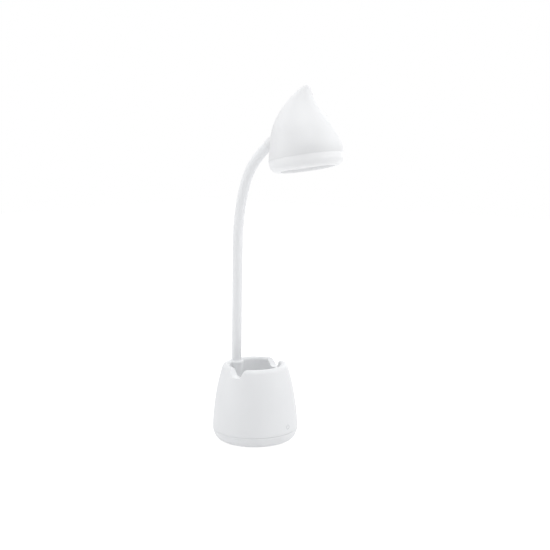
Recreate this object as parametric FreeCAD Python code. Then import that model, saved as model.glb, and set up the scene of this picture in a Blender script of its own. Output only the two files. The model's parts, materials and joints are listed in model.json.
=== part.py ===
import FreeCAD, Part
import os
from math import cos, degrees, pi, radians, sin, tan

# A rechargeable desk lamp: a pen-cup base, a gooseneck and a teardrop head.
# Millimetres and degrees. +Z is up, the front is -Y, and the neck stands at the back.
# The origin is the middle of the foot pad's underside.

V = FreeCAD.Vector
X = V(1, 0, 0)
UP = V(0, 0, 1)

# Shared allowances
overrun = 1.0
fit = 0.15
thread_clearance = 0.05
seam_gap = 0.3
seam_depth = 0.55

# Pot: outer wall, rolled lip and pen cup
base_radius = 52.0
base_height = 92.0
seam_height = 14.1
housing_wall = 2.4
mouth_radius = 31.0
lip_inner_round = 3.5
lip_outer_round = 5.7
lip_slope = 18.0
cup_floor_height = 34.0
cup_taper = 1.6
cup_floor_round = 3.0
# the outer wall: height as a share of the base's, and how far out from the lip to the base's side
pot_wall_shares = ((0.283, 0.942), (0.435, 0.819), (0.609, 0.63), (0.761, 0.402), (0.87, 0.191))

# Grooves that hold a phone, cut from side to side
groove_y = -5.0
groove_floor = 11.4
groove_depth = 10.2
groove_rear_slope = 62.0
groove_front_slope = 70.0
groove_floor_round = 4.0
groove_edge_round = 2.5
groove_run_out = 12.0
groove_run_out_slope = 12.0

# Column in the cup that carries the neck
column_inset = 4.3
column_radius = 9.0
column_wall = 1.8
column_drop = 0.5
column_round = 2.5
socket_depth = 8.0
column_web = 6.0

# Bottom cover, foot pad and ballast
cover_tuck = 7.8
cover_rise = 0.8
cover_floor = 2.0
cover_corner_round = 6.0
tongue_wall = 1.6
tongue_height = 3.0
foot_margin = 3.2
foot_thickness = 1.8
foot_clearance = 0.3
ballast_clearance = 0.35
ballast_thickness = 6.5
# height and radius of the cover's side, as shares of the seam's height and the base's radius
cover_side_shares = ((0.128, 0.896), (0.284, 0.937), (0.567, 0.976), (0.83, 0.996))

# Screws that hold the cover to the pot
boss_circle = 27.0
boss_angles = (39.0, 141.0, 237.5, 302.5)
boss_radius = 4.0
boss_height = 7.2
cover_screw_radius = 1.45
cover_screw_head = 2.8
cover_screw_head_height = 1.6
cover_screw_length = 17.0
screw_sink = 0.6

# Battery and its cradle
battery_radius = 9.2
battery_length = 65.0
battery_y = -8.0
battery_button = 2.8
battery_button_height = 1.0
cradle_floor = 1.0
cradle_wall = 1.4
cradle_height = 9.0
cradle_clearance = 0.3

# Main board, its screws and the charge port
board_width = 33.0
board_front = 8.0
board_back_gap = 7.0
board_thickness = 1.6
board_drop = 9.6
board_post_x = 12.5
board_post_front = 12.5
board_post_back = 24.0
board_post_radius = 2.5
board_screw_radius = 1.1
board_screw_head = 2.2
board_screw_head_height = 1.4
board_screw_length = 7.0
chip_size = 6.0
chip_height = 1.2
port_width = 9.0
port_height = 3.2
port_length = 8.0
port_wall = 0.4
port_tongue = 0.7
port_inset = 1.1
port_clearance = 0.3

# Touch electrode behind the front wall
electrode_width = 12.0
electrode_height = 10.0
electrode_thickness = 0.5
electrode_rise = 1.0
electrode_clearance = 0.25

# Neck: sleeve, wound core and middle line
neck_radius = 6.0
core_radius = 4.2
core_bore = 2.0
neck_lean = 1.26
neck_straight = 146.0
neck_bend_radii = (233.0, 82.0, 144.0)
neck_bend_angles = (17.75, 24.5, 11.2)
joint_count = 12
first_joint = 12.0
last_joint = 18.0
joint_margin = 2.0
joint_gap = 0.3

# Fittings, washers and nuts at both ends of the neck
stub_radius = 4.0
stub_bore = 2.0
stub_beyond = 9.0
flange_height = 3.0
washer_thickness = 1.0
nut_flats = 11.5
nut_height = 4.5
nut_washer_rim = 0.3

# Lamp head
head_tilt = 10.0
entry_stand_off = 5.9
entry_rise = 23.5
shade_radius = 42.4
shade_height = 78.55
shade_tip_forward = 15.0
shade_wall = 2.0
# height, radius and forward shift, as shares of the shade's height, its radius and its tip's shift
shade_shares = (
    (0.0, 1.0, 0.0),
    (0.09, 0.9858, 0.082),
    (0.19, 0.9495, 0.093),
    (0.3, 0.894, 0.047),
    (0.42, 0.816, -0.02),
    (0.54, 0.701, -0.063),
    (0.65, 0.572, -0.035),
    (0.76, 0.434, 0.11),
    (0.86, 0.302, 0.36),
    (0.93, 0.195, 0.63),
    (0.974, 0.104, 0.853),
    (0.992, 0.052, 0.95),
    (1.0, 0.016, 1.0),
)
# the hollow follows the shade's sections up to this one
hollow_section_count = 10
wall_slant_share = 1.15

# Neck collar and the boss inside the shade that it is bolted to
collar_radius = 6.9
collar_lap = 3.0
collar_reach = 26.0
shade_boss_radius = 8.5
shade_boss_reach = 25.0
shade_boss_start = 6.0

# Shade band and diffuser
band_height = 13.8
band_taper = 1.3
band_round = 9.1
band_wall = 2.0
band_tongue_wall = 1.4
band_tongue_height = 3.0
opening_rim = 9.9
opening_round = 0.6
opening_lip = 2.0
band_seam_gap = 0.12
band_seam_depth = 0.4
recess_depth = 3.0
diffuser_lap = 1.4
diffuser_thickness = 1.8

# Light source in the head
led_board_inset = 3.2
led_board_rise = 3.0
led_board_thickness = 1.4
reflector_wall = 1.4
led_size = 2.8
led_height = 0.8
led_ring_shares = (0.78, 0.42)
led_ring_counts = (12, 6)
spreader_clearance = 0.85
spreader_thickness = 1.5
spreader_hole_radius = 5.0
spreader_screw_inset = 7.1
spreader_screw_angles = (270.0, 30.0, 150.0)
spreader_screw_radius = 1.2
spreader_screw_head = 2.3
spreader_screw_head_height = 1.5
spreader_screw_length = 9.5
shade_post_radius = 3.3
shade_post_top = 24.0

# Leads inside the base and the head
lead_radius = 0.9
lamp_lead_radius = 1.3
turn_share = 0.45
touch_lead_height = 23.0
touch_lead_run = 4.5
touch_lead_stand_off = 4.0
touch_lead_landing = 2.6
# how far towards the battery's end the front of the lead has come, and how far back from the electrode
touch_lead_side_shares = (0.27, 0.68)
touch_lead_back_shares = (0.14, 0.37)
battery_lead_reach = 5.5

# Heights and places that follow from the sizes above
cover_top = foot_thickness + cover_floor
ballast_top = cover_top + ballast_thickness
boss_top = cover_top + boss_height
cup_underside = cup_floor_height - housing_wall
cup_floor_radius = mouth_radius - cup_taper
crest_radius = mouth_radius + lip_inner_round
column_y = crest_radius - column_inset
column_top = base_height - column_drop
cover_screw_seat = foot_thickness + screw_sink + cover_screw_head_height
electrode_bottom = seam_height + tongue_height + electrode_rise
board_top = cup_underside - board_drop
board_bottom = board_top - board_thickness
battery_height = ballast_top + cradle_floor + battery_radius + fit
tongue_outer = base_radius - housing_wall - fit
tongue_inner = tongue_outer - tongue_wall
cover_bottom_radius = base_radius - cover_tuck
foot_radius = cover_bottom_radius - foot_margin
ballast_radius = tongue_inner - cover_corner_round - ballast_clearance
board_back = base_radius - board_back_gap
joint_radius = neck_radius + joint_margin
flange_radius = neck_radius - fit
washer_radius = nut_flats / 2 + nut_washer_rim
entry_back = shade_radius + entry_stand_off
band_radius = shade_radius - band_taper
opening_radius = band_radius - opening_rim
band_tongue_outer = shade_radius - shade_wall - fit
band_tongue_inner = band_tongue_outer - band_tongue_wall
led_board_radius = opening_radius - led_board_inset
spreader_radius = band_tongue_inner - spreader_clearance
spreader_screw_circle = shade_radius - spreader_screw_inset
led_board_top = led_board_rise + led_board_thickness
spreader_top = led_board_top + spreader_thickness
diffuser_bottom = recess_depth - band_height
diffuser_top = diffuser_bottom + diffuser_thickness

nodes = {}


# Plain shapes

def rod(radius, start, end):
    """A cylinder from one point to another."""
    along = end - start
    return Part.makeCylinder(radius, along.Length, start, along)


def upright(radius, x, y, bottom, top):
    return rod(radius, V(x, y, bottom), V(x, y, top))


def through(radius, place, bottom, top):
    """What cuts an upright hole at a place, from bottom to top and a little past both."""
    return upright(radius, place.x, place.y, bottom - overrun, top + overrun)


def block(low, high):
    size = high - low
    return Part.makeBox(size.x, size.y, size.z, low)


def corner_arc(before, at, after, radius):
    """The two ends and the middle of the arc that rounds a corner."""
    back = (before - at).normalize()
    ahead = (after - at).normalize()
    half = back.getAngle(ahead) / 2
    inward = (back + ahead).normalize()
    reach = radius / tan(half)
    middle = at + inward * (radius / sin(half) - radius)
    return at + back * reach, middle, at + ahead * reach


def rounded_edges(points, radii):
    """Straight runs from point to point, with a tangent arc where the inner point's radius isn't 0."""
    edges = []
    here = points[0]
    for before, at, after, radius in zip(points, points[1:], points[2:], radii):
        if radius:
            start, middle, end = corner_arc(before, at, after, radius)
            edges.append(Part.LineSegment(here, start).toShape())
            edges.append(Part.Arc(start, middle, end).toShape())
            here = end
        else:
            edges.append(Part.LineSegment(here, at).toShape())
            here = at
    edges.append(Part.LineSegment(here, points[-1]).toShape())
    return edges


def turned(edges):
    """The solid that a closed outline in the XZ plane gives when it turns about the Z axis."""
    face = Part.Face(Part.Wire(edges))
    return face.revolve(V(0, 0, 0), UP, 360)


def turned_outline(points, radii=None):
    """A turned solid from (radius, height) points, closed by a straight edge, with rounded inner corners."""
    places = [V(radius, 0, height) for radius, height in points]
    radii = radii or (0,) * (len(points) - 2)
    edges = rounded_edges(places, radii)
    edges.append(Part.LineSegment(places[-1], places[0]).toShape())
    return turned(edges)


def smooth(points, first_direction, last_direction):
    """A smooth edge through the points, which leaves and arrives in the given directions."""
    curve = Part.BSplineCurve()
    curve.interpolate(Points=points, InitialTangent=first_direction, FinalTangent=last_direction)
    return curve.toShape()


def fused(shapes):
    return shapes[0].fuse(shapes[1:]).removeSplitter()


def tube_along(edges, radius, first_point, first_direction):
    """A round tube along a route of straight runs and tangent arcs."""
    ring = Part.Wire(Part.Circle(first_point, first_direction, radius).toShape())
    return Part.Wire(edges).makePipeShell([ring], True, False)


def lead(points, radius):
    """A lead along points, with each turn as wide as the runs beside it allow."""
    places = [V(*point) for point in points]
    radii = []
    for before, at, after in zip(places, places[1:], places[2:]):
        shorter = min((at - before).Length, (after - at).Length)
        radii.append(turn_share * shorter / tan((at - before).getAngle(after - at) / 2))
    return tube_along(rounded_edges(places, radii), radius, places[0], places[1] - places[0])


def screw(place, direction, radius, length, head_radius, head_height):
    """A pan-head screw: place is where its head meets what it clamps, and direction is along its shank."""
    shank = rod(radius, place, place + direction * length)
    head = rod(head_radius, place - direction * head_height, place)
    return shank.fuse(head).removeSplitter()


def nut(start, direction, bore):
    """A hexagon nut from the start point along direction."""
    turn = FreeCAD.Rotation(UP, direction)
    half_width = nut_flats / 2 / cos(pi / 6)
    corners = [V(half_width * cos(i * pi / 3), half_width * sin(i * pi / 3), 0) for i in range(6)]
    hexagon = Part.Face(Part.makePolygon(corners + corners[:1]))
    body = hexagon.extrude(UP * nut_height)
    body = body.cut(Part.makeCylinder(bore, nut_height + 2 * overrun, V(0, 0, -overrun)))
    body.Placement = FreeCAD.Placement(start, turn)
    return body


def washer(start, direction, bore):
    end = start + direction * washer_thickness
    return rod(washer_radius, start, end).cut(rod(bore, start - direction, end + direction))


def on_circle(radius, angle, height):
    return V(radius * cos(radians(angle)), radius * sin(radians(angle)), height)


# The neck's middle line: a straight run and three bends that turn it towards the front

def neck_direction(lean):
    return V(0, -sin(radians(lean)), cos(radians(lean)))


def neck_normal(lean):
    return V(0, cos(radians(lean)), sin(radians(lean)))


def neck_runs():
    """Each run as (length, bend radius or None, starting point, starting lean)."""
    place = V(0, column_y, column_top)
    lean = neck_lean
    runs = [(neck_straight, None, place, lean)]
    place = place + neck_direction(lean) * neck_straight
    for radius, angle in zip(neck_bend_radii, neck_bend_angles):
        runs.append((radius * radians(angle), radius, place, lean))
        place = place + (neck_normal(lean + angle) - neck_normal(lean)) * radius
        lean += angle
    return runs


def along_run(run, distance):
    """The point and lean at a distance along one run."""
    length, radius, place, lean = run
    if radius is None:
        return place + neck_direction(lean) * distance, lean
    turn = degrees(distance / radius)
    return place + (neck_normal(lean + turn) - neck_normal(lean)) * radius, lean + turn


def neck_point(distance):
    """The point and lean at a distance along the neck, which runs on straight past both ends."""
    runs = neck_runs()
    for run in runs:
        if distance <= run[0]:
            break
        if run is not runs[-1]:
            distance -= run[0]
    if run is runs[-1] and distance > run[0]:
        end, lean = along_run(run, run[0])
        return end + neck_direction(lean) * (distance - run[0]), lean
    return along_run(run, distance)


def neck_edges(start, end):
    """The edges of the middle line between two distances along it."""
    edges = []
    passed = 0
    for run in neck_runs():
        low = max(start - passed, 0)
        high = min(end - passed, run[0])
        if high - low > fit:
            first, middle, last = (along_run(run, d)[0] for d in (low, (low + high) / 2, high))
            if run[1] is None:
                edges.append(Part.LineSegment(first, last).toShape())
            else:
                edges.append(Part.Arc(first, middle, last).toShape())
        passed += run[0]
    return edges


neck_length = sum(run[0] for run in neck_runs())
neck_start, start_lean = neck_point(0)
neck_end, end_lean = neck_point(neck_length)
start_direction = neck_direction(start_lean)
end_direction = neck_direction(end_lean)
joint_step = (neck_length - first_joint - last_joint) / (joint_count - 1)
joint_places = [first_joint + joint_step * i for i in range(joint_count)]


def neck_rod(radius, start, end):
    """A solid round rod along the middle line."""
    first, lean = neck_point(start)
    return tube_along(neck_edges(start, end), radius, first, neck_direction(lean))


def domed(place):
    """What is cut away past the domed upper end of a neck piece at a joint."""
    centre, lean = neck_point(place)
    ahead = neck_direction(lean) * (joint_radius + overrun)
    return rod(joint_radius + overrun, centre, centre + ahead).cut(Part.makeSphere(joint_radius, centre))


def neck_piece(outer, bore, start, end):
    """A length of the neck between two joints: hollow below, domed above, both about the joint's centre."""
    low = 0 if start is None else joint_places[start]
    high = neck_length if end is None else joint_places[end]
    past = high if end is None else high + joint_radius
    piece = neck_rod(outer, low, past).cut(neck_rod(bore, low, past))
    if start is not None:
        piece = piece.cut(Part.makeSphere(joint_radius + joint_gap, neck_point(low)[0]))
    if end is not None:
        piece = piece.cut(domed(high))
    return piece


# Base

def pot_form(inset, bottom):
    """The pot's section, drawn in from its outside by inset, turned about the axis."""
    slope = radians(lip_slope)
    lip_radius = crest_radius + lip_outer_round * cos(slope)
    points = [V(base_radius - inset, 0, seam_height)]
    for height, share in pot_wall_shares:
        radius = lip_radius + share * (base_radius - lip_radius)
        points.append(V(radius - inset, 0, height * base_height))
    outer = lip_outer_round - inset
    inner = lip_inner_round - inset
    top = base_height - inset
    centre = V(crest_radius, 0, base_height - lip_outer_round)
    lip_start = centre + V(cos(slope), 0, sin(slope)) * outer
    lip_middle = centre + V(cos(pi / 4 + slope / 2), 0, sin(pi / 4 + slope / 2)) * outer
    crest = V(crest_radius, 0, top)
    inner_centre = V(crest_radius, 0, base_height - lip_inner_round)
    inner_middle = inner_centre + V(-cos(pi / 4), 0, sin(pi / 4)) * inner
    inner_end = inner_centre - V(inner, 0, 0)
    floor = cup_floor_height - inset
    axis_bottom = V(0, 0, bottom)
    wall = [inner_end, V(cup_floor_radius + inset, 0, floor), V(0, 0, floor)]
    edges = [Part.LineSegment(axis_bottom, V(base_radius - inset, 0, bottom)).toShape()]
    if bottom < seam_height:
        edges.append(Part.LineSegment(V(base_radius - inset, 0, bottom), points[0]).toShape())
    edges.append(smooth(points + [lip_start], UP, V(-sin(slope), 0, cos(slope))))
    edges.append(Part.Arc(lip_start, lip_middle, crest).toShape())
    edges.append(Part.Arc(crest, inner_middle, inner_end).toShape())
    edges.extend(rounded_edges(wall, (cup_floor_round + inset,)))
    edges.append(Part.LineSegment(wall[-1], axis_bottom).toShape())
    return turned(edges)


def groove_face():
    """The outline of the grooves in the YZ plane, with rounded corners and softened edges."""
    rear = groove_y + groove_floor / 2
    front = groove_y - groove_floor / 2
    rear_edge = rear + groove_depth / tan(radians(groove_rear_slope))
    front_edge = front - groove_depth / tan(radians(groove_front_slope))
    run_out_top = base_height + groove_run_out * tan(radians(groove_run_out_slope))
    side = -base_radius - overrun
    corners = (
        (rear_edge + groove_run_out, run_out_top),
        (rear_edge, base_height),
        (rear, base_height - groove_depth),
        (front, base_height - groove_depth),
        (front_edge, base_height),
        (front_edge - groove_run_out, run_out_top),
    )
    places = [V(side, y, z) for y, z in corners]
    rounds = (groove_edge_round, groove_floor_round, groove_floor_round, groove_edge_round)
    edges = rounded_edges(places, rounds)
    edges.append(Part.LineSegment(places[-1], places[0]).toShape())
    return Part.Face(Part.Wire(edges))


def column():
    """The round column at the back of the cup, with a softened top."""
    points = [
        V(0, 0, cup_underside),
        V(column_radius, 0, cup_underside),
        V(column_radius, 0, column_top),
        V(0, 0, column_top),
    ]
    edges = rounded_edges(points, (0, column_round))
    edges.append(Part.LineSegment(points[-1], points[0]).toShape())
    shape = turned(edges)
    shape.translate(V(0, column_y, 0))
    return shape


def board_posts():
    return [(x, y) for x in (-board_post_x, board_post_x) for y in (board_post_front, board_post_back)]


def port_centre():
    """The middle of the charge port's mouth, just inside the outer wall at the back."""
    height = board_top + port_height / 2
    return V(0, base_radius - port_inset, height)


def stadium(width, height, front, back, centre_height):
    """A bar along Y with rounded sides, as wide and high as given."""
    middle = width / 2 - height / 2
    low = V(-middle, front, centre_height - height / 2)
    bars = [block(low, V(middle, back, centre_height + height / 2))]
    for x in (-middle, middle):
        bars.append(rod(height / 2, V(x, front, centre_height), V(x, back, centre_height)))
    return fused(bars)


def pot_hollow():
    """The space between the pot's walls, open below, less what stays solid in it."""
    hollow = pot_form(housing_wall, seam_height - overrun)
    length = 2 * (base_radius + overrun)
    hollow = hollow.cut(groove_face().makeOffset2D(housing_wall).extrude(X * length))
    web_bottom = column_top - socket_depth - column_web
    hollow = hollow.cut(upright(column_radius, 0, column_y, web_bottom, column_top))
    for angle in boss_angles:
        place = on_circle(boss_circle, angle, 0)
        hollow = hollow.cut(upright(boss_radius, place.x, place.y, boss_top, cup_underside + overrun))
    for x, y in board_posts():
        hollow = hollow.cut(upright(board_post_radius, x, y, board_top, cup_underside + overrun))
    return hollow


def pot_body():
    shape = pot_form(0, seam_height).fuse(column())
    shape = shape.cut(groove_face().extrude(X * 2 * (base_radius + overrun)))
    shape = shape.cut(pot_hollow())
    web_top = neck_start - start_direction * socket_depth
    web_bottom = web_top - start_direction * column_web
    depth = (column_top - cup_underside) + overrun
    cuts = [
        rod(neck_radius + fit, web_top, neck_start + start_direction * overrun),
        rod(stub_radius + fit, web_bottom - start_direction, web_top + start_direction),
        rod(column_radius - column_wall, neck_start - start_direction * depth, web_bottom),
        stadium(
            port_width + 2 * port_clearance,
            port_height + 2 * port_clearance,
            port_centre().y - housing_wall - port_inset,
            base_radius + overrun,
            port_centre().z,
        ),
    ]
    for angle in boss_angles:
        place = on_circle(boss_circle, angle, 0)
        tip = cover_screw_seat + cover_screw_length
        cuts.append(through(cover_screw_radius + thread_clearance, place, boss_top, tip))
    for x, y in board_posts():
        tip = board_bottom + board_screw_length
        cuts.append(through(board_screw_radius + thread_clearance, V(x, y, 0), board_top, tip))
    return shape.cut(cuts).removeSplitter()


def base_cover():
    side = [V(cover_bottom_radius, 0, cover_rise)]
    for height, radius in cover_side_shares:
        side.append(V(radius * base_radius, 0, height * seam_height))
    side.append(V(base_radius, 0, seam_height - seam_gap))
    recess = foot_radius + foot_clearance
    below = [V(0, 0, foot_thickness), V(recess, 0, foot_thickness), V(recess, 0, cover_rise), side[0]]
    above = [
        side[-1],
        V(base_radius - seam_depth, 0, seam_height - seam_gap),
        V(base_radius - seam_depth, 0, seam_height),
        V(tongue_outer, 0, seam_height),
        V(tongue_outer, 0, seam_height + tongue_height),
        V(tongue_inner, 0, seam_height + tongue_height),
        V(tongue_inner, 0, cover_top),
        V(0, 0, cover_top),
        below[0],
    ]
    edges = rounded_edges(below, (0, 0))
    edges.append(smooth(side, (side[1] - side[0]).normalize(), UP))
    edges.extend(rounded_edges(above, (0, 0, 0, 0, 0, cover_corner_round, 0)))
    shape = turned(edges)
    for angle in boss_angles:
        place = on_circle(boss_circle, angle, 0)
        shape = shape.fuse(upright(boss_radius, place.x, place.y, foot_thickness + fit, boss_top))
        sink = upright(cover_screw_head + fit, place.x, place.y, foot_thickness - overrun, cover_screw_seat)
        shape = shape.cut([through(cover_screw_radius + fit, place, foot_thickness, boss_top), sink])
    return shape.removeSplitter()


def ballast_plate():
    shape = upright(ballast_radius, 0, 0, cover_top, ballast_top)
    places = [on_circle(boss_circle, angle, 0) for angle in boss_angles]
    return shape.cut([through(boss_radius + fit, place, cover_top, ballast_top) for place in places])


def cover_screws():
    sizes = (cover_screw_radius, cover_screw_length, cover_screw_head, cover_screw_head_height)
    places = [on_circle(boss_circle, angle, cover_screw_seat) for angle in boss_angles]
    return Part.makeCompound([screw(place, UP, *sizes) for place in places])


def battery_end(sign):
    return V(sign * battery_length / 2, battery_y, battery_height)


def battery_cell():
    cell = rod(battery_radius, battery_end(-1), battery_end(1))
    button_end = battery_end(1) + X * battery_button_height
    return cell.fuse(rod(battery_button, battery_end(1), button_end)).removeSplitter()


def battery_cradle():
    half_length = battery_length / 2 + battery_button_height + fit + cradle_wall
    half_width = battery_radius + fit + cradle_wall
    low = V(-half_length, battery_y - half_width, ballast_top)
    high = V(half_length, battery_y + half_width, ballast_top + cradle_height)
    start = battery_end(-1) - X * fit
    end = battery_end(1) + X * (battery_button_height + fit)
    inside_cover = upright(tongue_inner - cradle_clearance, 0, 0, low.z, high.z)
    return block(low, high).common(inside_cover).cut(rod(battery_radius + fit, start, end))


def main_board():
    half = board_width / 2
    shape = block(V(-half, board_front, board_bottom), V(half, board_back, board_top))
    back_chips = board_post_back + chip_size
    for x, y in ((0, board_post_front), (-half / 2, back_chips), (half / 2, back_chips)):
        low = V(x - chip_size / 2, y - chip_size / 2, board_top)
        shape = shape.fuse(block(low, low + V(chip_size, chip_size, chip_height)))
    shape = shape.removeSplitter()
    hole = board_screw_radius + fit
    return shape.cut([through(hole, V(x, y, 0), board_bottom, board_top) for x, y in board_posts()])


def board_screws():
    sizes = (board_screw_radius, board_screw_length, board_screw_head, board_screw_head_height)
    return Part.makeCompound([screw(V(x, y, board_bottom), UP, *sizes) for x, y in board_posts()])


def charge_port():
    mouth = port_centre()
    inner_width = port_width - 2 * port_wall
    inner_height = port_height - 2 * port_wall
    shell = stadium(port_width, port_height, mouth.y - port_length, mouth.y, mouth.z)
    hollow_start = mouth.y - port_length + 2 * port_wall
    shell = shell.cut(stadium(inner_width, inner_height, hollow_start, mouth.y + overrun, mouth.z))
    low = V(-inner_width / 2 + port_tongue, hollow_start - port_wall, mouth.z - port_tongue / 2)
    high = V(inner_width / 2 - port_tongue, mouth.y - port_tongue, mouth.z + port_tongue / 2)
    return shell.fuse(block(low, high)).removeSplitter()


def touch_electrode():
    """A thin conducting strip that follows the inside of the front wall."""
    outside = pot_form(housing_wall, seam_height)
    outside.translate(V(0, electrode_clearance, 0))
    inside = pot_form(housing_wall, seam_height - overrun)
    inside.translate(V(0, electrode_clearance + electrode_thickness, 0))
    low = V(-electrode_width / 2, -base_radius, electrode_bottom)
    piece = block(low, V(electrode_width / 2, 0, electrode_bottom + electrode_height))
    return outside.common(piece).cut(inside)


def electrode_inside(height):
    """How far in front of the axis the electrode's inner face is, at about this height."""
    face = touch_electrode().common(rod(lead_radius, V(0, -base_radius, height), V(0, 0, height)))
    return face.BoundBox.YMax


def touch_lead():
    """From the electrode round the battery's left end to the side of the board."""
    height = (board_top + board_bottom) / 2
    start = electrode_inside(touch_lead_height) + fit
    front = start + touch_lead_run
    side = battery_length / 2 + touch_lead_stand_off
    battery_front = battery_y - battery_radius
    battery_back = battery_y + battery_radius
    points = [(0, start, touch_lead_height), (0, front, touch_lead_height)]
    for across, back in zip(touch_lead_side_shares, touch_lead_back_shares):
        points.append((-side * across, front + (battery_front - front) * back, touch_lead_height))
    points.append((-side, battery_front, touch_lead_height))
    points.append((-side, battery_back, height))
    points.append((-(side + board_width / 2) / 2, board_front + touch_lead_landing, height))
    points.append((-board_width / 2 - fit, board_front + touch_lead_landing, height))
    return lead(points, lead_radius)


def battery_lead():
    height = (board_top + board_bottom) / 2
    start = battery_length / 2 + battery_button_height
    outside = start + battery_lead_reach
    side = board_front + 2 * lead_radius
    over = ballast_top + cradle_height + 2 * lead_radius
    points = (
        (start, battery_y, over),
        (outside, battery_y, over),
        (outside, side, height),
        (board_width / 2 + fit, side, height),
    )
    return lead(points, lead_radius)


def lower_fitting_end():
    return neck_start - start_direction * (socket_depth + column_web + stub_beyond)


def lamp_lead():
    end = lower_fitting_end() + start_direction * stub_radius
    rise = (end.z - board_top) / start_direction.z
    return rod(lamp_lead_radius, end - start_direction * (rise - lead_radius), end)


# Fittings at the neck's ends

def neck_fitting(seat, direction, length):
    """A bored stub with a flange that sits on seat, and the stub runs on along direction."""
    end = seat + direction * length
    flange = rod(flange_radius, seat - direction * flange_height, seat)
    shape = flange.fuse(rod(stub_radius, seat, end)).removeSplitter()
    return shape.cut(rod(stub_bore, seat - direction * (flange_height + overrun), end + direction * overrun))


def lower_fitting():
    seat = neck_start - start_direction * socket_depth
    return neck_fitting(seat, -start_direction, column_web + stub_beyond)


def lower_clamp():
    """The washer and the nut under the column's web."""
    below = neck_start - start_direction * (socket_depth + column_web)
    under_washer = below - start_direction * washer_thickness
    ring = washer(below, -start_direction, stub_radius + fit)
    return ring, nut(under_washer, -start_direction, stub_radius + thread_clearance)


def upper_fitting():
    seat = neck_end + end_direction * flange_height
    return neck_fitting(seat, end_direction, shade_boss_reach - flange_height + stub_beyond)


def upper_clamp():
    """The washer and the nut on the boss inside the shade."""
    inside = neck_end + end_direction * shade_boss_reach
    past_washer = inside + end_direction * washer_thickness
    ring = washer(inside, end_direction, stub_radius + fit)
    return ring, nut(past_washer, end_direction, stub_radius + thread_clearance)


# Lamp head, in its own frame: the origin is the middle of the seam, -Y is forward and +Z is up the shade

head_turn = FreeCAD.Rotation(X, -head_tilt)
head_place = FreeCAD.Placement(neck_end - head_turn.multVec(V(0, entry_back, entry_rise)), head_turn)
entry = V(0, entry_back, entry_rise)
entry_direction = head_turn.inverted().multVec(end_direction)


def ring_wire(radius, forward, height):
    """A circle about a point that lies forward of the head's axis, as four arcs."""
    centre = V(0, -forward, height)
    around = [centre + on_circle(radius, 45 * i, 0) for i in range(9)]
    arcs = [Part.Arc(*around[i:i + 3]).toShape() for i in (0, 2, 4, 6)]
    return Part.Wire(arcs)


def shade_sections(inset, count):
    rings = []
    for height, radius, forward in shade_shares[:count]:
        place = (radius * shade_radius - inset, forward * shade_tip_forward, height * shade_height)
        rings.append(ring_wire(*place))
    return rings


def shade_form():
    return Part.makeLoft(shade_sections(0, len(shade_shares)), True)


def shade_hollow():
    """The inside of the shade, which starts below its edge."""
    inset = shade_wall * wall_slant_share
    below = ring_wire(shade_radius - shade_wall, 0, -overrun)
    return Part.makeLoft([below] + shade_sections(inset, hollow_section_count)[1:], True)


def screw_post(angle):
    place = on_circle(spreader_screw_circle, angle, 0)
    return upright(shade_post_radius, place.x, place.y, spreader_top, shade_post_top)


def shade_shell(outside):
    inside_parts = [screw_post(angle) for angle in spreader_screw_angles]
    boss_start = entry + entry_direction * shade_boss_start
    boss_end = entry + entry_direction * shade_boss_reach
    inside_parts.append(rod(shade_boss_radius, boss_start, boss_end))
    shape = outside.cut(shade_hollow())
    shape = shape.cut(upright(shade_radius - shade_wall, 0, 0, -overrun, band_tongue_height + fit))
    for part in inside_parts:
        shape = shape.fuse(part.common(outside))
    cuts = [rod(stub_radius + fit, entry, boss_end + entry_direction)]
    for angle in spreader_screw_angles:
        place = on_circle(spreader_screw_circle, angle, 0)
        tip = led_board_top + spreader_screw_length
        cuts.append(through(spreader_screw_radius + thread_clearance, place, spreader_top, tip))
    return shape.cut(cuts).removeSplitter()


def neck_collar(outside):
    """A sleeve over the neck's end, shaped to the back of the shade that it bears on."""
    start = entry - entry_direction * collar_lap
    end = entry + entry_direction * collar_reach
    over_neck = rod(neck_radius + fit, start - entry_direction, entry + entry_direction * flange_height)
    over_stub = rod(stub_radius + fit, start, end + entry_direction)
    pieces = rod(collar_radius, start, end).cut([over_neck, over_stub, outside]).Solids
    return min(pieces, key=lambda piece: (piece.CenterOfMass - entry).Length)


def shade_band():
    lip_end = opening_radius + opening_lip
    inner_round = (band_tongue_inner - lip_end) * wall_slant_share / 2
    points = (
        (shade_radius - band_seam_depth, -band_seam_gap),
        (shade_radius, -band_seam_gap),
        (band_radius, -band_height),
        (opening_radius, -band_height),
        (opening_radius, diffuser_bottom),
        (lip_end, diffuser_bottom),
        (lip_end, band_wall - band_height),
        (band_tongue_inner, band_wall - band_height),
        (band_tongue_inner, band_tongue_height),
        (band_tongue_outer, band_tongue_height),
        (band_tongue_outer, 0),
        (shade_radius - band_seam_depth, 0),
    )
    return turned_outline(points, (0, band_round, opening_round, 0, 0, 0, inner_round, 0, 0, 0))


def diffuser():
    return upright(opening_radius + opening_lip + diffuser_lap, 0, 0, diffuser_bottom, diffuser_top)


def reflector():
    wide = opening_radius + opening_lip + diffuser_lap
    narrow = led_board_radius
    points = (
        (wide - 2 * reflector_wall, diffuser_top),
        (wide, diffuser_top),
        (wide, diffuser_top + reflector_wall),
        (narrow, led_board_rise),
        (narrow - reflector_wall, led_board_rise),
    )
    return turned_outline(points)


def led_board():
    return upright(led_board_radius, 0, 0, led_board_rise, led_board_top)


def led_chips():
    chips = []
    for share, count in zip(led_ring_shares, led_ring_counts):
        for i in range(count):
            place = on_circle(led_board_radius * share, 360 * i / count, led_board_rise)
            low = place - V(led_size / 2, led_size / 2, led_height)
            chips.append(block(low, low + V(led_size, led_size, led_height)))
    return Part.makeCompound(chips)


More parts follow.
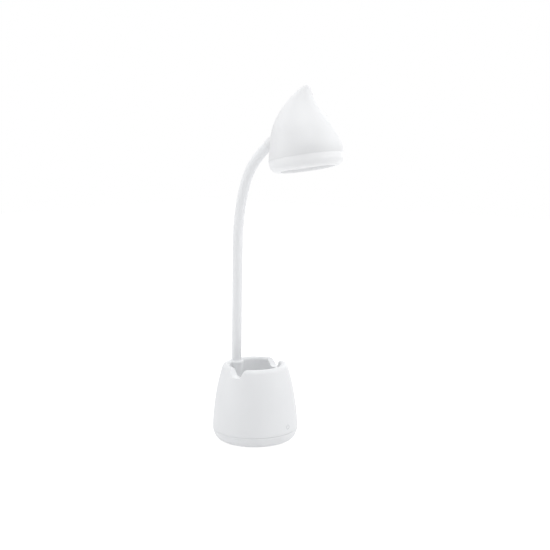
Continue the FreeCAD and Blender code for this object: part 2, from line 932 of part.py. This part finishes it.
def heat_spreader():
    shape = upright(spreader_radius, 0, 0, led_board_top, spreader_top)
    cuts = [through(spreader_hole_radius, V(0, 0, 0), led_board_top, spreader_top)]
    for angle in spreader_screw_angles:
        place = on_circle(spreader_screw_circle, angle, 0)
        cuts.append(through(spreader_screw_radius + fit, place, led_board_top, spreader_top))
    return shape.cut(cuts)


def spreader_screws():
    sizes = (spreader_screw_radius, spreader_screw_length, spreader_screw_head, spreader_screw_head_height)
    places = [on_circle(spreader_screw_circle, angle, led_board_top) for angle in spreader_screw_angles]
    return Part.makeCompound([screw(place, UP, *sizes) for place in places])


def head_lead():
    """From the upper fitting's bore down to the LED board, through the hole in the heat spreader."""
    start = entry + entry_direction * (shade_boss_reach + stub_beyond - stub_radius)
    out = start + entry_direction * (stub_radius + 2 * washer_radius)
    down = V(0, 0, out.z)
    end = V(0, 0, led_board_top)
    way = [start, out, down, end]
    turn_radius = (out - down).Length / 2
    edges = rounded_edges(way, (turn_radius, turn_radius / 2))
    return tube_along(edges, lead_radius, start, entry_direction)


# All nodes

def make_base():
    nodes["foot_pad"] = upright(foot_radius, 0, 0, 0, foot_thickness)
    nodes["base_cover"] = base_cover()
    nodes["ballast_plate"] = ballast_plate()
    nodes["battery_cradle"] = battery_cradle()
    nodes["battery_cell"] = battery_cell()
    nodes["battery_lead"] = battery_lead()
    nodes["main_board"] = main_board()
    nodes["charge_port"] = charge_port()
    nodes["touch_electrode"] = touch_electrode()
    nodes["touch_lead"] = touch_lead()
    nodes["lamp_lead"] = lamp_lead()
    nodes["pot_body"] = pot_body()
    nodes["cover_screws"] = cover_screws()
    nodes["board_screws"] = board_screws()


def make_neck():
    nodes["neck_lower_fitting"] = lower_fitting()
    nodes["neck_lower_washer"], nodes["neck_lower_nut"] = lower_clamp()
    for i in range(joint_count + 1):
        start = i - 1 if i > 0 else None
        end = i if i < joint_count else None
        nodes[f"neck_sleeve_{i:02d}"] = neck_piece(neck_radius, core_radius + fit, start, end)
        nodes[f"gooseneck_{i:02d}"] = neck_piece(core_radius, core_bore, start, end)
    nodes["neck_upper_fitting"] = upper_fitting()
    nodes["neck_upper_washer"], nodes["neck_upper_nut"] = upper_clamp()


def make_head():
    outside = shade_form()
    pieces = {
        "shade_shell": shade_shell(outside),
        "neck_collar": neck_collar(outside),
        "shade_band": shade_band(),
        "diffuser": diffuser(),
        "reflector": reflector(),
        "led_board": led_board(),
        "led_chips": led_chips(),
        "heat_spreader": heat_spreader(),
        "spreader_screws": spreader_screws(),
        "head_lead": head_lead(),
    }
    for name, shape in pieces.items():
        shape.Placement = head_place.multiply(shape.Placement)
        nodes[name] = shape


make_base()
make_neck()
make_head()
os.makedirs("parts", exist_ok=True)
for name, shape in nodes.items():
    shape.exportStep(f"parts/{name}.step")
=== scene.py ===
import json
from math import ceil, cos, pi, radians, sin

import bpy
from mathutils import Matrix, Vector
from mathutils.bvhtree import BVHTree


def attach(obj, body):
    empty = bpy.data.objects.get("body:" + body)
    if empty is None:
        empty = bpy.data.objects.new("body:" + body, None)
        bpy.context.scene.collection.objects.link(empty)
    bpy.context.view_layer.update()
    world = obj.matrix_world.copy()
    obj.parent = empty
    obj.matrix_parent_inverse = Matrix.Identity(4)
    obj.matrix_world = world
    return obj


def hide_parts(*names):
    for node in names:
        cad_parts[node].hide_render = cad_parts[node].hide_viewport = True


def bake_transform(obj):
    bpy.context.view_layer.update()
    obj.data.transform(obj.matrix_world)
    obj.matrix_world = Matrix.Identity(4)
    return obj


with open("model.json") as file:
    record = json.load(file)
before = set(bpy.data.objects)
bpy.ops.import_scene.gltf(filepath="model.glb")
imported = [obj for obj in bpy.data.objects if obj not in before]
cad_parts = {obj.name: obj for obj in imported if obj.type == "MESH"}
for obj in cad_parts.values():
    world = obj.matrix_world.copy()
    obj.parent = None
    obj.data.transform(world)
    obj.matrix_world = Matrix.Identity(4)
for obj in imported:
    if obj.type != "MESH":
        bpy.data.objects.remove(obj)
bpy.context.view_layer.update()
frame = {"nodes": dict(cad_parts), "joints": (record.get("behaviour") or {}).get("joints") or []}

# A rechargeable desk lamp: a pen-cup base, a gooseneck and a teardrop head.
# Metres and degrees. +Z is up, the front is -Y, and the neck stands at the back.

# The neck's middle line: a straight run and three bends, as (radius, angle)
neck_foot = Vector((0, 0.0302, 0.0915))
neck_lean = 1.26
neck_straight = 0.146
neck_bends = ((0.233, 17.75), (0.082, 24.5), (0.144, 11.2))
neck_radius = 0.006
socket_depth = 0.008
first_joint = 0.012
last_joint = 0.018

# The sleeve's mesh. A thin tongue on each length reaches into the next one's wall.
sleeve_wall = 0.001
sleeve_sides = 64
ring_step = 0.001
tongue_length = 0.002
tongue_step = 0.0001

# Power mark on the front of the pot: the height of its middle, its ring, which stays open over
# mark_gap degrees each side of the top, and the ends of its bar above the middle
mark_height = 0.0221
mark_radius = 0.0025
mark_stroke = 0.0005
mark_gap = 32.0
mark_bar = (0.0002, 0.0031)
mark_proud = 0.00004
mark_steps = 72
mark_bar_steps = 8
mark_cast_from = -1.0

# Camera: where it stands and how it looks at the lamp
camera_azimuth = -49.0
camera_distance = 1.0897
camera_height = 0.366
camera_pitch = 8.65
camera_yaw = 1.28
camera_lens = 60.2

# Stage and light
floor_size = 6.0
sky_colour = (0.424, 0.429, 0.438)
floor_white = 0.95
floor_shown = 0.92
floor_shadow = 0.36
# Each lamp is square and looks at the middle: its azimuth, its height angle and its watts
lamps = {
    "front_lamp": (-49, 60, 8.7),
    "right_lamp": (40, 25, 7.0),
    "right_rear_lamp": (101, 15, 2.6),
    "rear_lamp": (121, 32, 2.2),
    "left_rear_lamp": (-159, 50, 2.4),
    "left_lamp": (-139, 10, 4.2),
    "top_lamp": (-49, 90, 2.4),
}
lamp_size = 1.0
lamp_distance = 1.6
lamp_target = Vector((0, 0, 0.22))

# Patterns in the materials: the part of a noise's range that is used, the features per metre
# of the slow drift of a colour, and the circuit board's mask and tracks
noise_middle = (0.3, 0.7)
drift_scale = 22
mask_grain = 1500
mask_roughness = (0.25, 0.4)
track_scale = 190
track_gap = 0.03
track_height = 0.00002
track_light = 1.7

# Soft surfaces: the silicone's sheen and how far light goes into the diffuser
sheen_weight = 0.15
sheen_roughness = 0.4
opal_weight = 0.35
opal_reach = 0.003


# Materials

def shader_of(material):
    return material.node_tree.nodes["Principled BSDF"]


def new_material(name):
    material = bpy.data.materials.new(name)
    material.use_nodes = True
    tree = material.node_tree
    place = tree.nodes.new("ShaderNodeTexCoord")
    return material, tree, shader_of(material), place.outputs["Object"]


def noise(tree, place, scale, detail=2.0, squeeze=None):
    """A noise pattern of so many features per metre, and more along the axes that squeeze names."""
    if squeeze:
        mapping = tree.nodes.new("ShaderNodeMapping")
        mapping.inputs["Scale"].default_value = squeeze
        tree.links.new(place, mapping.inputs["Vector"])
        place = mapping.outputs["Vector"]
    pattern = tree.nodes.new("ShaderNodeTexNoise")
    pattern.inputs["Scale"].default_value = scale
    pattern.inputs["Detail"].default_value = detail
    tree.links.new(place, pattern.inputs["Vector"])
    return pattern.outputs["Fac"]


def ranged(tree, value, low, high):
    """The pattern's middle spread, turned into a range of values."""
    step = tree.nodes.new("ShaderNodeMapRange")
    ends = {"From Min": noise_middle[0], "From Max": noise_middle[1], "To Min": low, "To Max": high}
    for socket, end in ends.items():
        step.inputs[socket].default_value = end
    tree.links.new(value, step.inputs["Value"])
    return step.outputs["Result"]


def blended(tree, factor, first, second):
    mix = tree.nodes.new("ShaderNodeMix")
    mix.data_type = "RGBA"
    mix.inputs["A"].default_value = (*first, 1)
    mix.inputs["B"].default_value = (*second, 1)
    tree.links.new(factor, mix.inputs["Factor"])
    return next(o for o in mix.outputs if o.type == "RGBA")


def bumped(tree, shader, height, depth):
    bump = tree.nodes.new("ShaderNodeBump")
    bump.inputs["Distance"].default_value = depth
    tree.links.new(height, bump.inputs["Height"])
    tree.links.new(bump.outputs["Normal"], shader.inputs["Normal"])


def shifted(colour, factor):
    return tuple(min(1, c * factor) for c in colour)


def surface(name, colour, roughness, grain, depth, drift=0.012, metallic=0.0, squeeze=None):
    """A surface with a fine grain, roughness that varies with it and a slow drift of its colour."""
    material, tree, shader, place = new_material(name)
    shader.inputs["Metallic"].default_value = metallic
    slow = ranged(tree, noise(tree, place, drift_scale, detail=3), 0, 1)
    tree.links.new(blended(tree, slow, shifted(colour, 1 - drift), shifted(colour, 1 + drift)),
                   shader.inputs["Base Color"])
    fine = noise(tree, place, grain, detail=3, squeeze=squeeze)
    tree.links.new(ranged(tree, fine, *roughness), shader.inputs["Roughness"])
    bumped(tree, shader, fine, depth)
    return material


def satin_plastic(name, colour):
    return surface(name, colour, roughness=(0.44, 0.54), grain=1900, depth=0.000006)


def silicone(name, colour):
    material = surface(name, colour, roughness=(0.5, 0.6), grain=1300, depth=0.000008, drift=0.008)
    shader = shader_of(material)
    shader.inputs["Sheen Weight"].default_value = sheen_weight
    shader.inputs["Sheen Roughness"].default_value = sheen_roughness
    return material


def opal(name, colour):
    material = surface(name, colour, roughness=(0.42, 0.5), grain=900, depth=0.000004, drift=0.006)
    shader = shader_of(material)
    shader.inputs["Subsurface Weight"].default_value = opal_weight
    shader.inputs["Subsurface Radius"].default_value = (opal_reach,) * 3
    shader.inputs["Subsurface Scale"].default_value = 1.0
    return material


def foam(name, colour):
    return surface(name, colour, roughness=(0.8, 0.95), grain=1600, depth=0.00012, drift=0.08)


def metal(name, colour):
    """Metal with a fine grain of level lines."""
    return surface(name, colour, roughness=(0.25, 0.38), grain=700, depth=0.000004, drift=0.03,
                   metallic=1.0, squeeze=(1, 1, 12))


def solder_mask(name, colour):
    """A circuit board's mask, lighter over its tracks."""
    material, tree, shader, place = new_material(name)
    tracks = tree.nodes.new("ShaderNodeTexBrick")
    tracks.inputs["Scale"].default_value = track_scale
    tracks.inputs["Mortar Size"].default_value = track_gap
    tree.links.new(place, tracks.inputs["Vector"])
    tree.links.new(blended(tree, tracks.outputs["Fac"], colour, shifted(colour, track_light)),
                   shader.inputs["Base Color"])
    fine = noise(tree, place, mask_grain)
    tree.links.new(ranged(tree, fine, *mask_roughness), shader.inputs["Roughness"])
    bumped(tree, shader, tracks.outputs["Fac"], track_height)
    return material


# Each finish, with the function that makes it and its colour
makers = {
    "housing_white": (satin_plastic, (0.866, 0.872, 0.88)),
    "shade_white": (satin_plastic, (0.87, 0.873, 0.878)),
    "band_white": (satin_plastic, (0.968, 0.971, 0.975)),
    "diffuser_opal": (opal, (0.84, 0.845, 0.85)),
    "sleeve_silicone": (silicone, (0.904, 0.91, 0.919)),
    "foot_foam": (foam, (0.05, 0.05, 0.053)),
    "steel": (metal, (0.56, 0.56, 0.57)),
    "ballast_steel": (metal, (0.3, 0.3, 0.32)),
    "aluminium": (metal, (0.76, 0.765, 0.775)),
    "cell_wrap": (satin_plastic, (0.05, 0.16, 0.33)),
    "board_green": (solder_mask, (0.02, 0.12, 0.05)),
    "led_yellow": (satin_plastic, (0.78, 0.6, 0.1)),
    "inner_black": (satin_plastic, (0.03, 0.03, 0.033)),
    "reflector_white": (satin_plastic, (0.88, 0.88, 0.88)),
    "copper": (metal, (0.8, 0.45, 0.3)),
    "lead_black": (silicone, (0.02, 0.02, 0.022)),
    "mark_grey": (satin_plastic, (0.56, 0.57, 0.59)),
}
finishes = {slot: maker(slot, colour) for slot, (maker, colour) in makers.items()}
# The ring at the head's mouth is a shade whiter than the shell above it
own_finish = {"shade_band": "band_white"}


def dress_nodes():
    """Gives each carried-over node its own finish, or else the finish of its slot in the record."""
    for name, node in frame["nodes"].items():
        slots = [own_finish[name]] if name in own_finish else node_slots(name)
        for place, slot in zip(node.material_slots, slots):
            place.material = finishes[slot]


def node_slots(name):
    """The record's slots that a node's materials are named by."""
    return [place.material.name.split(".")[0] for place in frame["nodes"][name].material_slots]


# Objects and meshes

def new_object(name, data):
    made = bpy.data.objects.new(name, data)
    bpy.context.scene.collection.objects.link(made)
    return made


def mesh_object(name, points, faces, slot, body=None):
    mesh = bpy.data.meshes.new(name)
    mesh.from_pydata(points, [], faces)
    mesh.validate()
    mesh.polygons.foreach_set("use_smooth", [True] * len(mesh.polygons))
    mesh.materials.append(finishes[slot])
    piece = new_object(name, mesh)
    if body:
        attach(piece, body)
    return piece


# The neck

def neck_ways(lean):
    """Along the neck and square to it, in the plane that it bends in."""
    turn = radians(lean)
    return Vector((0, -sin(turn), cos(turn))), Vector((0, cos(turn), sin(turn)))


def neck_length():
    return neck_straight + sum(radius * radians(angle) for radius, angle in neck_bends)


def neck_place(distance):
    """The middle line's point and lean at a distance from the neck's foot."""
    straight = min(distance, neck_straight)
    place = neck_foot + neck_ways(neck_lean)[0] * straight
    lean = neck_lean
    distance -= straight
    for radius, angle in neck_bends:
        turn = min(angle, distance / radius * 180 / pi)
        place += (neck_ways(lean + turn)[1] - neck_ways(lean)[1]) * radius
        lean += turn
        distance = max(0, distance - radius * radians(turn))
    return place, lean


def ring(place, lean, radius):
    square = neck_ways(lean)[1]
    across = Vector((1, 0, 0))
    around = [2 * pi * i / sleeve_sides for i in range(sleeve_sides)]
    return [place + (across * cos(a) + square * sin(a)) * radius for a in around]


def sleeve_piece(number, start, end, tongue):
    """One closed length of the sleeve: outside, tongue, inside and an end face at each end."""
    count = ceil((end - start) / ring_step)
    stops = [start + (end - start) * i / count for i in range(count + 1)]
    inner_radius = neck_radius - sleeve_wall
    outline = [(distance, neck_radius) for distance in stops]
    if tongue:
        outline.append((end, neck_radius - tongue_step))
        outline.append((end + tongue_length, neck_radius - tongue_step))
        outline.append((end + tongue_length, inner_radius + tongue_step))
        outline.append((end, inner_radius + tongue_step))
    outline += [(distance, inner_radius) for distance in stops[::-1]]
    rings = [ring(*neck_place(distance), radius) for distance, radius in outline]
    points = [point for one in rings for point in one]
    faces = []
    total = len(rings)
    for r in range(total):
        low = r * sleeve_sides
        high = (r + 1) % total * sleeve_sides
        for i in range(sleeve_sides):
            j = (i + 1) % sleeve_sides
            faces.append((low + i, low + j, high + j, high + i))
    piece = mesh_object(f"sleeve_{number:02d}", points, faces, "sleeve_silicone")
    # The rings round both end faces and the tongue have sharp edges
    rims = {0, *range(count, total - count), total - 1}
    for edge in piece.data.edges:
        a, b = (v // sleeve_sides for v in edge.vertices)
        edge.use_edge_sharp = a == b and a in rims
    return piece


def make_sleeve():
    """The sleeve in one piece per joint, each spanning its hinge from halfway below to halfway
    above.
    """
    length = neck_length()
    joints = frame["joints"]
    step = (length - first_joint - last_joint) / (len(joints) - 1)
    middles = [first_joint + step * (i + 0.5) for i in range(len(joints) - 1)]
    stops = [-socket_depth, *middles, length]
    for i, joint in enumerate(joints):
        start, end = stops[i], stops[i + 1]
        piece = sleeve_piece(i, start, end, i < len(joints) - 1)
        hinge = first_joint + step * i
        along = neck_ways(neck_place(hinge)[1])[0]
        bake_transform(piece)
        # The last length also stands for the one past the last hinge
        nodes = [f"neck_sleeve_{i:02d}"]
        if i == len(joints) - 1:
            nodes.append(f"neck_sleeve_{i + 1:02d}")
        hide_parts(*nodes)


# The power mark

def on_pot(x, z, pot):
    """The point of the pot's front at x and z, a hair proud of it."""
    hit, normal, _, _ = pot.ray_cast(Vector((x, mark_cast_from, z)), Vector((0, 1, 0)))
    return hit + normal * mark_proud


def make_mark():
    mesh = frame["nodes"]["pot_body"].data
    pot = BVHTree.FromPolygons([v.co for v in mesh.vertices], [p.vertices for p in mesh.polygons])
    points, faces = [], []
    for i in range(mark_steps + 1):
        turn = radians(90 + mark_gap + (360 - 2 * mark_gap) * i / mark_steps)
        for radius in (mark_radius - mark_stroke / 2, mark_radius + mark_stroke / 2):
            points.append(on_pot(radius * cos(turn), mark_height + radius * sin(turn), pot))
        if i:
            faces.append((2 * i - 2, 2 * i - 1, 2 * i + 1, 2 * i))
    first = len(points)
    low, high = mark_bar
    for i in range(mark_bar_steps + 1):
        z = mark_height + low + (high - low) * i / mark_bar_steps
        points += [on_pot(x, z, pot) for x in (-mark_stroke / 2, mark_stroke / 2)]
        if i:
            a = first + 2 * i
            faces.append((a - 2, a - 1, a + 1, a))
    mark = mesh_object("power_mark", points, faces, "mark_grey", "base")


# Stage, light and camera

def ray_kind(tree):
    """1 for rays that show the background: from the camera, a mirror or glass."""
    rays = tree.nodes.new("ShaderNodeLightPath")
    total = None
    for kind in ("Is Camera Ray", "Is Glossy Ray", "Is Transmission Ray"):
        if total is None:
            total = rays.outputs[kind]
            continue
        step = tree.nodes.new("ShaderNodeMath")
        step.operation = "MAXIMUM"
        tree.links.new(total, step.inputs[0])
        tree.links.new(rays.outputs[kind], step.inputs[1])
        total = step.outputs[0]
    return total


def make_world():
    world = bpy.data.worlds.new("studio")
    world.use_nodes = True
    tree = world.node_tree
    shown = blended(tree, ray_kind(tree), sky_colour, (1, 1, 1))
    tree.links.new(shown, tree.nodes["Background"].inputs["Color"])
    bpy.context.scene.world = world


def make_floor():
    half = floor_size / 2
    points = [(-half, -half, 0), (half, -half, 0), (half, half, 0), (-half, half, 0)]
    mesh = bpy.data.meshes.new("floor")
    mesh.from_pydata(points, [], [(0, 1, 2, 3)])
    floor = new_object("floor", mesh)
    material = bpy.data.materials.new("floor")
    material.use_nodes = True
    tree = material.node_tree
    tree.nodes.remove(tree.nodes["Principled BSDF"])
    plain = tree.nodes.new("ShaderNodeBsdfDiffuse")
    plain.inputs["Color"].default_value = (floor_white, floor_white, floor_white, 1)
    faint = tree.nodes.new("ShaderNodeBsdfDiffuse")
    faint.inputs["Color"].default_value = (floor_shadow, floor_shadow, floor_shadow, 1)
    glow = tree.nodes.new("ShaderNodeEmission")
    glow.inputs["Strength"].default_value = floor_shown
    shown = tree.nodes.new("ShaderNodeAddShader")
    tree.links.new(faint.outputs[0], shown.inputs[0])
    tree.links.new(glow.outputs[0], shown.inputs[1])
    mix = tree.nodes.new("ShaderNodeMixShader")
    tree.links.new(ray_kind(tree), mix.inputs[0])
    tree.links.new(plain.outputs[0], mix.inputs[1])
    tree.links.new(shown.outputs[0], mix.inputs[2])
    tree.links.new(mix.outputs[0], tree.nodes["Material Output"].inputs["Surface"])
    mesh.materials.append(material)


def make_lamps():
    for name, (azimuth, rise, power) in lamps.items():
        turn, up = radians(azimuth), radians(rise)
        away = Vector((sin(turn) * cos(up), -cos(turn) * cos(up), sin(up)))
        light = bpy.data.lights.new(name, "AREA")
        light.size = lamp_size
        light.energy = power
        lamp = new_object(name, light)
        lamp.location = lamp_target + away * lamp_distance
        lamp.rotation_mode = "QUATERNION"
        lamp.rotation_quaternion = away.to_track_quat("Z", "Y")
        lamp.visible_camera = False


def make_camera():
    a, pitch, yaw = (radians(x) for x in (camera_azimuth, camera_pitch, camera_yaw))
    back = Vector((sin(a), -cos(a), 0))
    right = Vector((cos(a), sin(a), 0))
    forward = right * sin(yaw) - back * cos(yaw)
    across = right * cos(yaw) + back * sin(yaw)
    look = forward * cos(pitch) - Vector((0, 0, 1)) * sin(pitch)
    up = across.cross(look)
    place = back * camera_distance + Vector((0, 0, camera_height))
    data = bpy.data.cameras.new("camera")
    data.lens = camera_lens
    camera = new_object("camera", data)
    camera.matrix_world = Matrix((across, up, -look)).transposed().to_4x4()
    camera.location = place
    bpy.context.scene.camera = camera


dress_nodes()
make_sleeve()
make_mark()
make_world()
make_floor()
make_lamps()
make_camera()
bpy.context.scene.view_settings.view_transform = "Standard"
